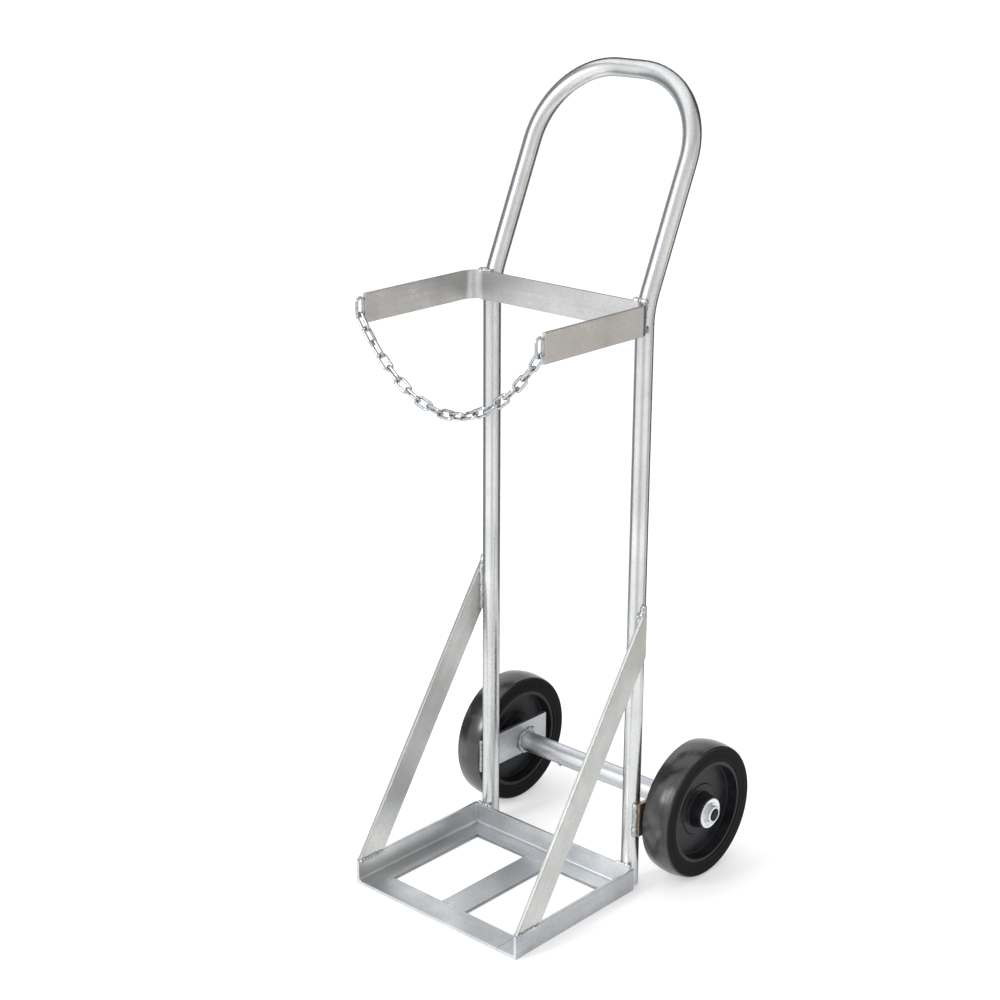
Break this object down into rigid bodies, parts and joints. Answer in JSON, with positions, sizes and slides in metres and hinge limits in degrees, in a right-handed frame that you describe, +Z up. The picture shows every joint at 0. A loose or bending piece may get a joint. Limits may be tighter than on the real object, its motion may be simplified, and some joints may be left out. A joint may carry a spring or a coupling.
{
  "type": "gas cylinder trolley",
  "caption": "Welded plated-steel hand trolley for an upright gas cylinder: angle-bar base, bent flat-bar cradle with hold-in chain, raked tube handle and rubber-tyred wheels.",
  "frame": {"origin": "middle of the footprint, on the floor", "axes": "+Z up, +X along the axle, -Y towards the side where the cylinder stands"},
  "size_m": [0.4222, 0.456, 1.1355],
  "materials": {
    "plated_steel": "zinc plated",
    "bright_tube": "zinc plated",
    "bright_zinc": "bright zinc",
    "tyre_rubber": "matt rubber",
    "rim_plastic": "satin",
    "bush_plastic": "satin"
  },
  "bodies": {
    "frame": {"base_angle_left": "plated_steel", "base_angle_right": "plated_steel", "base_angle_rear": "plated_steel", "base_front_flat": "plated_steel", "base_centre_flat": "plated_steel", "frame_tube": "plated_steel", "cradle_band": "plated_steel", "brace_left": "plated_steel", "brace_right": "plated_steel", "axle_bracket_left": "plated_steel", "axle_bracket_right": "plated_steel", "axle_sleeve": "bright_tube", "axle_tube": "bright_tube", "inner_washer_left": "bright_zinc", "inner_washer_right": "bright_zinc", "outer_washer_left": "bright_zinc", "outer_washer_right": "bright_zinc", "retaining_ring_left": "bright_zinc", "retaining_ring_right": "bright_zinc", "chain_end_link_left": "bright_zinc", "chain_end_link_right": "bright_zinc"},
    "wheel_left": {"tyre_left": "tyre_rubber", "rim_left": "rim_plastic", "bush_left": "bush_plastic"},
    "wheel_right": {"tyre_right": "tyre_rubber", "rim_right": "rim_plastic", "bush_right": "bush_plastic"},
    "chain": {"chain_link_01": "bright_zinc", "chain_link_02": "bright_zinc", "chain_link_03": "bright_zinc", "chain_link_04": "bright_zinc", "chain_link_05": "bright_zinc", "chain_link_06": "bright_zinc", "chain_link_07": "bright_zinc", "chain_link_08": "bright_zinc", "chain_link_09": "bright_zinc", "chain_link_10": "bright_zinc", "chain_link_11": "bright_zinc", "chain_link_12": "bright_zinc", "chain_link_13": "bright_zinc", "chain_link_14": "bright_zinc", "chain_link_15": "bright_zinc", "chain_link_16": "bright_zinc", "chain_link_17": "bright_zinc", "chain_link_18": "bright_zinc", "chain_link_19": "bright_zinc"}
  },
  "joints": [
    {"name": "wheel_left_spin", "type": "hinge", "parent": "frame", "child": "wheel_left", "pos_m": [-0.1778, 0.128, 0.1], "axis": [1, 0, 0], "continuous": true},
    {"name": "wheel_right_spin", "type": "hinge", "parent": "frame", "child": "wheel_right", "pos_m": [0.1778, 0.128, 0.1], "axis": [1, 0, 0], "continuous": true},
    {"name": "chain_swing", "type": "hinge", "parent": "frame", "child": "chain", "pos_m": [0, -0.1975, 0.8266], "axis": [-1, 0, 0], "range_deg": [-15, 80]}
  ]
}
